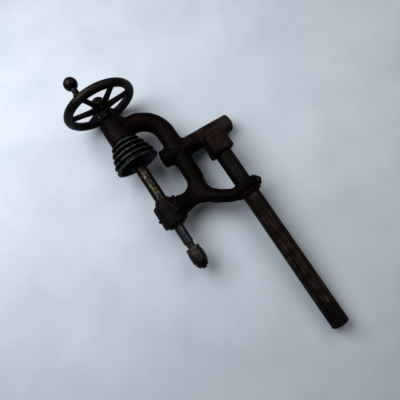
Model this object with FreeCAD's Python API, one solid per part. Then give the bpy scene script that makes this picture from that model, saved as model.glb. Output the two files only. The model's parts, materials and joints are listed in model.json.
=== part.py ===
"""Small belt-driven bench drill head on a round column, laid on its side.

The drill is drawn upright, the way it stands in use, and laid down at the end:
  z  up the column from its foot
  x  from the spindle to the column
  y  from the front of the drill to its back; the column stands in front of the frame
The spindle runs down the z axis. Lengths are in millimetres.
"""
import FreeCAD, Part
import math
import os

V = FreeCAD.Vector
UP = V(0, 0, 1)
SIDE = V(1, 0, 0)
BACK = V(0, 1, 0)

# Clearances
RUNNING = 0.05            # radial play of a shaft that turns in its bush
FACE_GAP = 0.4            # between faces that pass each other
FREE_GAP = 0.3            # radial gap round parts that must not touch

# Column
COLUMN_R = 12.7
COLUMN_SEAT_R = 12.3      # in the eye and the socket
COLUMN_EDGE = 1.2
THROAT = 107.0            # spindle axis to column axis
COLUMN_FORWARD = 25.4     # column axis in front of the spindle and frame plane
COLUMN_TOP = 308.0
COLUMN_AXIS = V(THROAT, -COLUMN_FORWARD, 0)

# Frame casting
HEAD_R = 18.5
HEAD_BOTTOM = 374.0
HEAD_TOP = 412.5
HEAD_EDGE = 3.0
HEAD_BORE_R = 14.0
GOOSENECK_R = 14.1
GOOSENECK_BEND = 37.5
GOOSENECK_X = 60.2
GOOSENECK_Z = 391.3
WEB_X = 59.2
WEB_R = 12.9
BARREL_R = 13.6
BARREL_Z = 321.5
BARREL_LEFT = 34.0
BARREL_RIGHT = 152.0
BARREL_EDGE = 3.2
IDLER_R = 9.5
IDLER_DEPTH = 72.0
ARM_Z = 252.0             # level arm from the foot of the web to the spindle bearing
ARM_BEND = 27.5
BEARING_R = 18.0
BEARING_BOTTOM = 231.5
BEARING_TOP = 267.0
BEARING_CHAMFER = 2.2
SOCKET_HALF = 17.0
SOCKET_BOTTOM = 279.5
SOCKET_TOP = 317.0
SOCKET_EDGE = 8.0
SOCKET_FOOT_EDGE = 2.5
GUSSET_R = 9.0            # fills the corner between the two lower arms
GUSSET_START = V(40, -2, 250)
GUSSET_END = V(64, -12, 238)
EYE_R = 17.4
EYE_BAND_R = 19.2
EYE_BOTTOM = 209.5
EYE_BAND_BOTTOM = 216.5
EYE_TOP = 230.0
EAR_REACH = 21.0          # column axis to the outer face of the clamp ears
EAR_HALF = 9.5
EAR_BOTTOM = 213.5
EAR_TOP = 227.0
SLIT = 2.4

# Fasteners
COLUMN_PIN_R = 1.4
COLUMN_PIN_X = THROAT - 2.5
COLUMN_PIN_Z = 303.0
OIL_HOLE_R = 1.1
OIL_HOLE_X = 75.8
OIL_HOLE_Z = 222.6
OIL_HOLE_DEPTH = 9.0
CLAMP_BOLT_R = 2.5
CLAMP_BOLT_X = THROAT + 16.4
CLAMP_BOLT_Z = 0.5 * (EAR_BOTTOM + EAR_TOP)
CLAMP_HEAD_ACROSS = 8.6
CLAMP_HEAD_HEIGHT = 4.0
CLAMP_NUT_HEIGHT = 4.2
CLAMP_BOLT_PAST_EAR = 7.5
WASHER_R = 4.7
SPOT_FACE_R = 5.3
WASHER_THICK = 1.0
BEARING_SCREW_R = 2.0
BEARING_SCREW_Z = 246.0
BEARING_SCREW_PROUD = 2.2
SCREWDRIVER_SLOT = 0.7

# Spindle and its lower bearing
SPINDLE_R = 8.6
JOURNAL_R = 7.2
SHOULDER_Z = 273.0
JOURNAL_BOTTOM = 200.4
NOSE_R = 5.8
NOSE_BOTTOM = 180.0
SPINDLE_TOP = 372.0
KEYWAY_HALF = 1.3
KEYWAY_DEPTH = 2.2
FEED_TRAVEL = 27.0
BUSH_R = 10.0
BUSH_FLANGE_R = 12.0
TOP_FLANGE = 4.0
BOTTOM_FLANGE = 3.0
THRUST_WASHER_R = 10.2

# Cone pulley: crest radius and height of each ridge, from the smallest down
PULLEY_TOP = HEAD_BOTTOM - FACE_GAP
RIDGE_RADII = (22.2, 26.1, 29.1, 32.0, 32.7)
RIDGE_PITCH = 8.4
FIRST_RIDGE_Z = 369.0
RIDGE_HALF = 1.4
RIDGE_FLAT_HALF = 0.45
GROOVE_DEPTH = 4.0
TOP_LAND_R = 17.0
PULLEY_HUB_R = 11.6
PULLEY_HUB_BOTTOM = 330.0
PULLEY_WALL = 4.0
SLEEVE_R = 11.85
SLEEVE_TOP = 396.0
BUSH_TOP = 391.0
KEY_SCREW_R = 2.0
KEY_SCREW_Z = 333.5
KEY_SCREW_TURN = 190.0    # degrees about the spindle, seen from above

# Feed screw and handwheel
SCREW_R = 6.35
SCREW_FOOT_R = 5.4
SCREW_NECK_R = 3.5
SWIVEL_R = 6.0
SWIVEL_FLOOR = 356.0
BALL_R = 3.0
NUT_BOTTOM = 400.5
WHEEL_Z = 440.8
RIM_R = 50.0
RIM_TUBE_R = 6.4
HUB_R = 12.0
HUB_NECK_R = 9.4
HUB_NECK_BOTTOM = 417.5
HUB_BOTTOM = 427.0
HUB_TOP = 445.0
WHEEL_SEAT_R = 4.5
SPOKE_COUNT = 6
SPOKE_HUB_Z = 436.0
SPOKE_R = 3.9             # halfway along
SPOKE_HUB_R = 5.0
SPOKE_RIM_R = 4.6
WHEEL_TURN = 0.5          # degrees from the x axis to the first spoke
HANDLE_SPOKE = 4
WHEEL_PIN_R = 1.6
WHEEL_PIN_Z = 424.0
TANG_R = 2.5
KNOB_R = 9.7
KNOB_WAIST_R = 4.2
KNOB_FOOT_R = 6.6
CAP_NUT_R = 9.4
KNOB_Z = 465.2

# Chuck
CHUCK_TOP = 193.0
CHUCK_COLLAR_R = 10.4
CHUCK_COLLAR_BOTTOM = 188.6
CHUCK_R = 11.2
SLEEVE_BOTTOM = 169.0
CHUCK_CORE_R = 7.4
CHUCK_SLEEVE_BORE_R = 9.0
CHUCK_NOSE_R = 6.9
CHUCK_TIP = 162.0
JAW_COUNT = 3
JAW_R = 2.0
JAW_LENGTH = 14.0
JAW_LEAN = 15.0           # degrees between a jaw and the spindle
JAW_TIP = 159.6
JAW_TIP_RADIUS = 1.25
JAW_TRAVEL = 5.0
JAW_GAP = 0.2             # axis to the edge of a closed jaw
SPREAD = 360.0 / JAW_COUNT


def rod(radius, low, high, x=0.0, y=0.0):
    """A round bar along z, from one height to another."""
    return Part.makeCylinder(radius, high - low, V(x, y, low), UP)


def bar(radius, start, direction, length):
    """A round bar from a point, along any direction."""
    return Part.makeCylinder(radius, length, start, direction)


def tube(outer, inner, low, high, x=0.0, y=0.0):
    return rod(outer, low, high, x, y).cut(rod(inner, low, high, x, y))


def turned(outline):
    """A solid turned about z from a closed outline of (radius, height) points."""
    points = [V(radius, 0, height) for radius, height in outline]
    face = Part.Face(Part.makePolygon(points + points[:1]))
    return face.revolve(V(0, 0, 0), UP, 360)


def fused(*shapes):
    return shapes[0].multiFuse(list(shapes[1:])).removeSplitter()


def turned_about_spindle(shape, degrees):
    copy = shape.copy()
    copy.rotate(V(0, 0, 0), UP, degrees)
    return copy


def polar(radius, degrees, height=0.0):
    angle = math.radians(degrees)
    return V(radius * math.cos(angle), radius * math.sin(angle), height)


def hexagon(across, base, direction, height):
    """A hexagonal block, given its size across flats."""
    corner = across / math.sqrt(3)
    points = [polar(corner, 60 * side) for side in range(7)]
    block = Part.Face(Part.makePolygon(points)).extrude(V(0, 0, height))
    block.Placement = FreeCAD.Placement(base, FreeCAD.Rotation(UP, direction))
    return block


def rounded_bar(radius, low, high, edge):
    """A round bar along z whose two end edges are rounded off."""
    shape = rod(radius, low, high)
    ends = [e for e in shape.Edges if abs(e.Length - 2 * math.pi * radius) < 0.01]
    return shape.makeFillet(edge, ends)


# ---------------------------------------------------------------- frame casting

def gooseneck():
    """Quarter bend from the head to the web, with its two straight ends."""
    bend_centre = V(GOOSENECK_X - GOOSENECK_BEND, 0, GOOSENECK_Z - GOOSENECK_BEND)
    section = Part.Face(Part.Wire(Part.makeCircle(GOOSENECK_R, V(bend_centre.x, 0, GOOSENECK_Z), SIDE)))
    bend = section.revolve(bend_centre, BACK, 90)
    to_head = bar(GOOSENECK_R, V(0, 0, GOOSENECK_Z), SIDE, bend_centre.x)
    to_barrel = rod(GOOSENECK_R, BARREL_Z, bend_centre.z, GOOSENECK_X)
    return fused(to_head, bend, to_barrel)


def barrel():
    """Cross barrel, rounded over at its closed end."""
    length = BARREL_RIGHT - BARREL_LEFT
    shape = bar(BARREL_R, V(BARREL_LEFT, 0, BARREL_Z), SIDE, length)
    closed_end = [e for e in shape.Edges if e.BoundBox.XMin > BARREL_RIGHT - 1]
    return shape.makeFillet(BARREL_EDGE, closed_end)


def web_and_bearing_arm():
    """The web turns a quarter bend at its foot and runs to the spindle bearing."""
    bend_centre = V(WEB_X - ARM_BEND, 0, ARM_Z + ARM_BEND)
    section = Part.Face(Part.Wire(Part.makeCircle(WEB_R, V(bend_centre.x, 0, ARM_Z), SIDE)))
    bend = section.revolve(bend_centre, BACK, -90)
    web = rod(WEB_R, bend_centre.z, BARREL_Z, WEB_X)
    block_z = 0.5 * (BEARING_BOTTOM + BEARING_TOP)
    block_end = Part.makeCircle(BEARING_R - 0.6, V(2, 0, block_z), SIDE)
    bend_end = Part.makeCircle(WEB_R, V(bend_centre.x, 0, ARM_Z), SIDE)
    arm = Part.makeLoft([Part.Wire(block_end), Part.Wire(bend_end)], True, True)
    return fused(web, bend, arm)


def clamp_arm():
    """Curved arm from the foot of the web, forward and down to the column eye."""
    stations = (
        (V(WEB_X - 1, 0.0, 285.0), 12.3),
        (V(56.5, -2.0, 264.0), 12.0),
        (V(57.0, -6.0, 250.0), 11.4),
        (V(62.0, -11.0, 240.0), 10.6),
        (V(70.5, -16.0, 231.5), 9.8),
        (V(81.0, -20.5, 224.2), 9.4),
        (V(93.0, -24.4, 219.6), 9.3),
        (V(THROAT - 2, -COLUMN_FORWARD, 218.5), 9.3),
    )
    sections = []
    for index, (point, radius) in enumerate(stations):
        before = stations[max(index - 1, 0)][0]
        after = stations[min(index + 1, len(stations) - 1)][0]
        circle = Part.makeCircle(radius, point, after.sub(before))
        sections.append(Part.Wire(circle))
    arm = Part.makeLoft(sections, True, False)
    gusset = GUSSET_END.sub(GUSSET_START)
    return fused(arm, bar(GUSSET_R, GUSSET_START, gusset, gusset.Length))


def column_socket():
    """Closed arch-topped boss on the front of the barrel that holds the column's top."""
    crown_z = SOCKET_TOP - SOCKET_HALF
    front = -COLUMN_FORWARD - SOCKET_HALF
    left = V(THROAT - SOCKET_HALF, front, SOCKET_BOTTOM)
    right = V(THROAT + SOCKET_HALF, front, SOCKET_BOTTOM)
    left_spring = V(left.x, front, crown_z)
    right_spring = V(right.x, front, crown_z)
    crown = Part.Arc(left_spring, V(THROAT, front, SOCKET_TOP), right_spring).toShape()
    foot_line = Part.makeLine(right, left)
    left_line = Part.makeLine(left, left_spring)
    right_line = Part.makeLine(right_spring, right)
    outline = Part.Face(Part.Wire([foot_line, left_line, crown, right_line]))
    block = outline.extrude(V(0, 2 * SOCKET_HALF, 0))
    front_arch = [e for e in block.Edges if e.BoundBox.YMax < front + 0.1 and e.BoundBox.ZMax > crown_z]
    uprights = [e for e in block.Edges if e.BoundBox.YMin > front + 1 and e.BoundBox.YLength < 0.1
                and e.BoundBox.XLength < 0.1]
    block = block.makeFillet(SOCKET_EDGE, front_arch + uprights)
    foot = [e for e in block.Edges if e.BoundBox.ZMax < SOCKET_BOTTOM + 0.1]
    return block.makeFillet(SOCKET_FOOT_EDGE, foot)


def column_eye():
    """Split eye that clamps the column: a ring, a raised band and two ears."""
    ring = rod(EYE_R, EYE_BOTTOM, EYE_TOP - 2, THROAT, -COLUMN_FORWARD)
    band = rod(EYE_BAND_R, EYE_BAND_BOTTOM, EYE_TOP, THROAT, -COLUMN_FORWARD)
    rims = [e for e in band.Edges if abs(e.Length - 2 * math.pi * EYE_BAND_R) < 0.01]
    band = band.makeFillet(2.5, rims)
    ears = Part.makeBox(EAR_REACH, 2 * EAR_HALF, EAR_TOP - EAR_BOTTOM,
                        V(THROAT, -COLUMN_FORWARD - EAR_HALF, EAR_BOTTOM))
    outer = [e for e in ears.Edges if e.BoundBox.XMin > THROAT + 1]
    ears = ears.makeFillet(3.0, outer)
    return fused(ring, band, ears)


def bearing_block():
    profile = [(0, BEARING_BOTTOM), (BEARING_R - 1, BEARING_BOTTOM), (BEARING_R, BEARING_BOTTOM + 1),
               (BEARING_R, BEARING_TOP - BEARING_CHAMFER), (BEARING_R - BEARING_CHAMFER, BEARING_TOP),
               (0, BEARING_TOP)]
    return turned(profile)


def head_boss():
    profile = [(0, HEAD_BOTTOM), (HEAD_R, HEAD_BOTTOM), (HEAD_R, HEAD_TOP - HEAD_EDGE),
               (HEAD_R - HEAD_EDGE, HEAD_TOP), (0, HEAD_TOP)]
    return turned(profile)


def casting_holes():
    """Everything drilled, bored or sawn out of the frame casting."""
    forward = -COLUMN_FORWARD
    slit = Part.makeBox(EAR_REACH, SLIT, EYE_TOP - EYE_BOTTOM + 2,
                        V(THROAT, forward - SLIT / 2, EYE_BOTTOM - 1))
    oil_hole = bar(OIL_HOLE_R, V(OIL_HOLE_X, forward - 6, OIL_HOLE_Z), BACK, OIL_HOLE_DEPTH)
    ear_front = V(CLAMP_BOLT_X, forward - EAR_HALF, CLAMP_BOLT_Z)
    ear_back = V(CLAMP_BOLT_X, forward + EAR_HALF, CLAMP_BOLT_Z)
    return [
        rod(HEAD_BORE_R, HEAD_BOTTOM - 1, HEAD_TOP + 1),
        rod(BUSH_R, BEARING_BOTTOM - 1, BEARING_TOP + 1),
        rod(COLUMN_SEAT_R + RUNNING, EYE_BOTTOM - 1, COLUMN_TOP + 0.5, THROAT, forward),
        bar(IDLER_R, V(BARREL_LEFT - 1, 0, BARREL_Z), SIDE, IDLER_DEPTH + 1),
        bar(COLUMN_PIN_R, V(COLUMN_PIN_X, forward - SOCKET_HALF - 1, COLUMN_PIN_Z), BACK, SOCKET_HALF + 1),
        bar(CLAMP_BOLT_R + 0.3, V(CLAMP_BOLT_X, forward - 20, CLAMP_BOLT_Z), BACK, 40),
        bar(BEARING_SCREW_R, V(-BEARING_R - 1, 0, BEARING_SCREW_Z), SIDE, BEARING_R - BUSH_R + 2),
        bar(SPOT_FACE_R, ear_front, V(0, -1, 0), SPOT_FACE_R),
        bar(SPOT_FACE_R, ear_back, BACK, SPOT_FACE_R),
        slit,
        oil_hole,
    ]


def frame_casting():
    body = fused(head_boss(), gooseneck(), barrel(), web_and_bearing_arm(), clamp_arm(),
                 bearing_block(), column_socket(), column_eye())
    return body.cut(casting_holes())


# ---------------------------------------------------------------- column and its fasteners

def column():
    """Round bar; its upper end is turned down a little from just below the eye."""
    shape = rounded_bar(COLUMN_R, 0, COLUMN_TOP, COLUMN_EDGE)
    seat = tube(COLUMN_R + 1, COLUMN_SEAT_R, EYE_BOTTOM - 1, COLUMN_TOP)
    shape = shape.cut(seat)
    shape.translate(COLUMN_AXIS)
    hole = bar(COLUMN_PIN_R, V(COLUMN_PIN_X, -COLUMN_FORWARD - COLUMN_R - 1, COLUMN_PIN_Z), BACK,
               COLUMN_R + 1)
    return shape.cut(hole)


def column_pin():
    """Round-headed pin through the socket's front into the column."""
    front = -COLUMN_FORWARD - SOCKET_HALF
    shank = bar(COLUMN_PIN_R, V(COLUMN_PIN_X, front - 0.6, COLUMN_PIN_Z), BACK, SOCKET_HALF)
    rim = [e for e in shank.Edges if e.BoundBox.YMax < front]
    return shank.makeFillet(0.5, rim)


def clamp_bolt():
    """Bolt along y through both clamp ears, head to the front."""
    front = -COLUMN_FORWARD - EAR_HALF
    head = hexagon(CLAMP_HEAD_ACROSS, V(CLAMP_BOLT_X, front, CLAMP_BOLT_Z), V(0, -1, 0), CLAMP_HEAD_HEIGHT)
    dome = Part.makeSphere(CLAMP_HEAD_ACROSS * 0.72, V(CLAMP_BOLT_X, front + 2.2, CLAMP_BOLT_Z))
    length = 2 * EAR_HALF + CLAMP_BOLT_PAST_EAR
    shank = bar(CLAMP_BOLT_R, V(CLAMP_BOLT_X, front, CLAMP_BOLT_Z), BACK, length)
    return fused(head.common(dome), shank)


def clamp_washer():
    back = V(CLAMP_BOLT_X, -COLUMN_FORWARD + EAR_HALF, CLAMP_BOLT_Z)
    return bar(WASHER_R, back, BACK, WASHER_THICK).cut(bar(CLAMP_BOLT_R + RUNNING, back, BACK, WASHER_THICK))


def clamp_nut():
    back = V(CLAMP_BOLT_X, -COLUMN_FORWARD + EAR_HALF + WASHER_THICK, CLAMP_BOLT_Z)
    hole = bar(CLAMP_BOLT_R + RUNNING, back, BACK, CLAMP_NUT_HEIGHT)
    return hexagon(CLAMP_HEAD_ACROSS, back, BACK, CLAMP_NUT_HEIGHT).cut(hole)


def bearing_screw():
    """Headless screw in the bearing block that holds the bushes."""
    start = V(-BEARING_R - BEARING_SCREW_PROUD, 0, BEARING_SCREW_Z)
    length = BEARING_SCREW_PROUD + BEARING_R - BUSH_R - FACE_GAP
    screw = bar(BEARING_SCREW_R - RUNNING, start, SIDE, length)
    corner = V(start.x, -BEARING_SCREW_R - 1, BEARING_SCREW_Z - SCREWDRIVER_SLOT / 2)
    slot = Part.makeBox(1.0, 2 * BEARING_SCREW_R + 2, SCREWDRIVER_SLOT, corner)
    return screw.cut(slot)


# ---------------------------------------------------------------- bearings

def bearing_bushes():
    """Two flanged bushes, one from each end of the bearing block."""
    middle = 0.5 * (BEARING_BOTTOM + BEARING_TOP)
    bore = JOURNAL_R + RUNNING
    upper = [(bore, middle + 1), (BUSH_R, middle + 1), (BUSH_R, BEARING_TOP),
             (BUSH_FLANGE_R, BEARING_TOP), (BUSH_FLANGE_R, BEARING_TOP + TOP_FLANGE - 0.8),
             (BUSH_FLANGE_R - 0.8, BEARING_TOP + TOP_FLANGE), (bore, BEARING_TOP + TOP_FLANGE)]
    lower = [(bore, BEARING_BOTTOM - BOTTOM_FLANGE), (BUSH_FLANGE_R, BEARING_BOTTOM - BOTTOM_FLANGE),
             (BUSH_FLANGE_R, BEARING_BOTTOM), (BUSH_R, BEARING_BOTTOM), (BUSH_R, middle - 1),
             (bore, middle - 1)]
    return turned(upper), turned(lower)


def thrust_washer():
    low = BEARING_TOP + TOP_FLANGE
    return tube(THRUST_WASHER_R, JOURNAL_R + FREE_GAP, low, SHOULDER_Z - 0.1)


def head_bush():
    """Plain bush in the head that carries the pulley's sleeve."""
    return tube(HEAD_BORE_R, SLEEVE_R + RUNNING, HEAD_BOTTOM, BUSH_TOP)


def feed_nut():
    """Bronze nut that closes the top of the head; its thread is drawn as a plain bore."""
    profile = [(SCREW_R + RUNNING, NUT_BOTTOM), (HEAD_BORE_R, NUT_BOTTOM), (HEAD_BORE_R, HEAD_TOP),
               (SCREW_R + 2.5, HEAD_TOP + 1.5), (SCREW_R + RUNNING, HEAD_TOP + 1.5)]
    return turned(profile)


# ---------------------------------------------------------------- cone pulley

def key_screw_direction():
    """Unit vector out of the pulley hub along the driving screw."""
    return polar(1, KEY_SCREW_TURN)


def pulley_outline():
    """Outer line of the ridges and round-bottomed grooves, from the top down."""
    line = [(TOP_LAND_R, PULLEY_TOP), (TOP_LAND_R, FIRST_RIDGE_Z + 2.6)]
    for step, crest in enumerate(RIDGE_RADII):
        centre = FIRST_RIDGE_Z - step * RIDGE_PITCH
        line += [(crest - 0.8, centre + RIDGE_HALF), (crest, centre + RIDGE_FLAT_HALF),
                 (crest, centre - RIDGE_FLAT_HALF)]
        if step + 1 < len(RIDGE_RADII):
            groove = crest - GROOVE_DEPTH
            line += [(crest - 0.8, centre - RIDGE_HALF), (groove, centre - 0.38 * RIDGE_PITCH),
                     (groove, centre - 0.62 * RIDGE_PITCH)]
    return line


def cone_pulley():
    """Hollow four-groove cone pulley with a sleeve that turns in the head bush."""
    bottom = FIRST_RIDGE_Z - (len(RIDGE_RADII) - 1) * RIDGE_PITCH - RIDGE_HALF
    bore = SPINDLE_R + RUNNING
    outline = [(SLEEVE_R, PULLEY_TOP)] + pulley_outline()
    outline += [(RIDGE_RADII[-1] - 0.6, bottom), (RIDGE_RADII[-1] - PULLEY_WALL, bottom),
                (RIDGE_RADII[2] - PULLEY_WALL - 1.5, bottom + 14),
                (RIDGE_RADII[1] - PULLEY_WALL - 3.5, bottom + 21),
                (PULLEY_HUB_R, bottom + 22.5), (PULLEY_HUB_R, PULLEY_HUB_BOTTOM + 1),
                (PULLEY_HUB_R - 1, PULLEY_HUB_BOTTOM), (bore, PULLEY_HUB_BOTTOM),
                (bore, SLEEVE_TOP), (SLEEVE_R, SLEEVE_TOP)]
    hole = bar(KEY_SCREW_R, V(0, 0, KEY_SCREW_Z), key_screw_direction(), PULLEY_HUB_R + 2)
    return turned(outline).cut(hole)


def key_screw():
    """Screw in the pulley's hub; its tip slides in the spindle's keyway and drives it."""
    direction = key_screw_direction()
    tip = V(0, 0, KEY_SCREW_Z) + direction * (SPINDLE_R - KEYWAY_DEPTH + 0.5)
    body = V(0, 0, KEY_SCREW_Z) + direction * (SPINDLE_R + 0.4)
    outer = PULLEY_HUB_R + 1.4 - SPINDLE_R - 0.4
    pilot = bar(KEYWAY_HALF - 0.3, tip, direction, 2.5)
    return fused(pilot, bar(KEY_SCREW_R - 0.02, body, direction, outer))


def sleeve_ring():
    """Threaded ring on top of the sleeve that keeps the pulley up in the head."""
    return tube(HEAD_BORE_R - 0.7, SLEEVE_R, BUSH_TOP + 0.15, SLEEVE_TOP)


# ---------------------------------------------------------------- spindle and feed

def spindle():
    profile = [(0, NOSE_BOTTOM), (NOSE_R, NOSE_BOTTOM), (NOSE_R, JOURNAL_BOTTOM - 1.2),
               (JOURNAL_R, JOURNAL_BOTTOM), (JOURNAL_R, SHOULDER_Z), (SPINDLE_R, SHOULDER_Z),
               (SPINDLE_R, SPINDLE_TOP - 0.5), (SPINDLE_R - 0.5, SPINDLE_TOP),
               (SWIVEL_R, SPINDLE_TOP), (SWIVEL_R, SWIVEL_FLOOR), (0, SWIVEL_FLOOR)]
    keyway_low = KEY_SCREW_Z - FEED_TRAVEL - 4
    keyway = Part.makeBox(KEYWAY_DEPTH + 2, 2 * KEYWAY_HALF, KEY_SCREW_Z + 4 - keyway_low,
                          V(SPINDLE_R - KEYWAY_DEPTH, -KEYWAY_HALF, keyway_low))
    return turned(profile).cut(turned_about_spindle(keyway, KEY_SCREW_TURN))


def thrust_ball():
    return Part.makeSphere(BALL_R, V(0, 0, SWIVEL_FLOOR + BALL_R))


def swivel_nut():
    """Ring nut in the spindle's top that lets the feed screw lift the spindle."""
    low = SWIVEL_FLOOR + 2 * BALL_R + 4.4
    return tube(SWIVEL_R, SCREW_NECK_R + 0.4, low, SPINDLE_TOP - 1)


def feed_screw():
    """Feed screw: a collared foot in the swivel, the thread and the wheel's seat."""
    foot = SWIVEL_FLOOR + 2 * BALL_R + 0.05
    neck_top = SPINDLE_TOP + 1.5
    profile = [(0, foot), (SCREW_FOOT_R, foot), (SCREW_FOOT_R, foot + 4),
               (SCREW_NECK_R, foot + 4), (SCREW_NECK_R, neck_top), (SCREW_R, neck_top + 1.5),
               (SCREW_R, HUB_NECK_BOTTOM), (WHEEL_SEAT_R, HUB_NECK_BOTTOM),
               (WHEEL_SEAT_R, HUB_TOP + 6), (0, HUB_TOP + 6)]
    return turned(profile).cut(wheel_pin_bore(WHEEL_PIN_R))


# ---------------------------------------------------------------- handwheel

def spoke(turn):
    """One tapered spoke, flared where it meets the hub and the rim."""
    inner = V(HUB_R - 2, 0, SPOKE_HUB_Z)
    outer = V(RIM_R, 0, WHEEL_Z)
    run = outer.sub(inner)
    sections = []
    stations = ((0.0, SPOKE_HUB_R), (0.35, SPOKE_R + 0.2), (0.7, SPOKE_R - 0.1), (1.0, SPOKE_RIM_R))
    for along, radius in stations:
        sections.append(Part.Wire(Part.makeCircle(radius, inner + run * along, run)))
    return turned_about_spindle(Part.makeLoft(sections, True, False), turn)


def handwheel():
    rim = Part.makeTorus(RIM_R, RIM_TUBE_R, V(0, 0, WHEEL_Z), UP)
    hub = turned([(0, HUB_NECK_BOTTOM), (HUB_NECK_R, HUB_NECK_BOTTOM), (HUB_NECK_R, HUB_BOTTOM),
                  (HUB_R, HUB_BOTTOM + 3), (HUB_R, HUB_TOP - 3), (HUB_R - 3, HUB_TOP), (0, HUB_TOP)])
    spokes = [spoke(WHEEL_TURN + index * 360 / SPOKE_COUNT) for index in range(SPOKE_COUNT)]
    wheel = fused(rim, hub, *spokes)
    seat = rod(WHEEL_SEAT_R, HUB_NECK_BOTTOM - 1, HUB_TOP + 1)
    return wheel.cut([seat, handle_knob(), wheel_pin_bore(WHEEL_PIN_R)])


def wheel_pin_bore(radius):
    """Cross hole through the hub's neck and the feed screw."""
    direction = polar(1, WHEEL_TURN + 90)
    start = V(0, 0, WHEEL_PIN_Z) - direction * HUB_NECK_R
    return bar(radius, start, direction, 2 * HUB_NECK_R)


def wheel_pin():
    """Cross pin that fixes the hub to the feed screw."""
    return wheel_pin_bore(WHEEL_PIN_R)


def wheel_nut():
    """Domed round nut on top of the hub."""
    low = HUB_TOP
    height = 8.6
    side = 2.0
    dome = []
    for step in range(6):
        angle = math.radians(15 * step)
        dome.append((CAP_NUT_R * math.cos(angle), low + side + (height - side) * math.sin(angle)))
    profile = [(WHEEL_SEAT_R, low), (CAP_NUT_R - 0.6, low)] + dome
    profile += [(0, low + height), (0, low + 6.5), (WHEEL_SEAT_R, low + 6.5)]
    return turned(profile)


def handle_knob():
    """Ball handle on a waisted stalk, riveted through the rim; its foot saddles the rim."""
    foot = RIM_TUBE_R - 3
    waist = RIM_TUBE_R + 5
    ball_z = KNOB_Z - WHEEL_Z
    ball = Part.makeSphere(KNOB_R, V(0, 0, ball_z))
    stalk = turned([(0, foot), (KNOB_FOOT_R, foot), (KNOB_FOOT_R - 0.4, foot + 2.2),
                    (KNOB_WAIST_R + 1.0, foot + 4.5), (KNOB_WAIST_R + 0.2, waist - 1.5),
                    (KNOB_WAIST_R, waist), (KNOB_WAIST_R + 0.3, ball_z - KNOB_R + 1), (0, ball_z)])
    tang = rod(TANG_R, -RIM_TUBE_R + 0.5, foot + 1)
    knob = fused(ball, stalk, tang)
    knob.translate(polar(RIM_R, WHEEL_TURN + HANDLE_SPOKE * 360 / SPOKE_COUNT, WHEEL_Z))
    return knob


# ---------------------------------------------------------------- chuck

def jaw_direction(turn):
    """Down a jaw, towards the spindle axis."""
    lean = math.radians(JAW_LEAN)
    return turned_vector(V(-math.sin(lean), 0, -math.cos(lean)), turn)


def turned_vector(vector, degrees):
    return FreeCAD.Rotation(UP, degrees).multVec(vector)


def jaw_tip(turn):
    return polar(JAW_TIP_RADIUS, turn, JAW_TIP)


def jaw_bore(turn, radius, above, below):
    """Slanted round bar along a jaw's path, longer than the jaw at both ends."""
    down = jaw_direction(turn)
    start = jaw_tip(turn) - down * (JAW_LENGTH + above)
    return bar(radius, start, down, JAW_LENGTH + above + below)


def jaw(turn):
    """Round jaw trimmed to its own third of the space round the axis, flat at the tip."""
    reach = 30
    half_width = reach * math.tan(math.radians(SPREAD / 2))
    corners = [V(JAW_GAP, 0, JAW_TIP), V(reach, -half_width, JAW_TIP), V(reach, half_width, JAW_TIP)]
    third = Part.Face(Part.makePolygon(corners + corners[:1])).extrude(V(0, 0, 2 * JAW_LENGTH))
    return jaw_bore(turn, JAW_R, 0, 3).common(turned_about_spindle(third, turn))


def chuck_body():
    """Chuck body: top collar, core and conical nose, with three slanted jaw bores."""
    profile = [(0, CHUCK_TIP), (CHUCK_NOSE_R - 0.6, CHUCK_TIP), (CHUCK_NOSE_R, CHUCK_TIP + 0.6),
               (CHUCK_R - 1.4, SLEEVE_BOTTOM - 0.4), (CHUCK_CORE_R, SLEEVE_BOTTOM - 0.4),
               (CHUCK_CORE_R, CHUCK_COLLAR_BOTTOM), (CHUCK_COLLAR_R, CHUCK_COLLAR_BOTTOM),
               (CHUCK_COLLAR_R, CHUCK_TOP - 0.8), (CHUCK_COLLAR_R - 0.8, CHUCK_TOP), (0, CHUCK_TOP)]
    bores = [jaw_bore(index * SPREAD, JAW_R + FREE_GAP, JAW_TRAVEL + 1, 6) for index in range(JAW_COUNT)]
    socket = rod(NOSE_R, NOSE_BOTTOM, CHUCK_TOP + 1)
    throat = rod(1.7, CHUCK_TIP - 1, CHUCK_TIP + 12)
    return turned(profile).cut([socket, throat] + bores)


def chuck_sleeve():
    """Outer sleeve, slightly barrelled, that turns on the body."""
    bore = CHUCK_SLEEVE_BORE_R
    high = CHUCK_COLLAR_BOTTOM - FACE_GAP
    profile = [(bore, SLEEVE_BOTTOM), (CHUCK_R - 1.2, SLEEVE_BOTTOM), (CHUCK_R - 0.3, SLEEVE_BOTTOM + 3),
               (CHUCK_R, SLEEVE_BOTTOM + 8), (CHUCK_R, high - 5), (CHUCK_R - 0.7, high - 0.6),
               (CHUCK_R - 1.2, high), (bore, high)]
    return turned(profile)


def chuck_nut():
    """Ring inside the sleeve whose thread drives the jaws."""
    return tube(CHUCK_SLEEVE_BORE_R, CHUCK_CORE_R + FREE_GAP, SLEEVE_BOTTOM + 1.5, SLEEVE_BOTTOM + 6)


# ---------------------------------------------------------------- assembly

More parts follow.
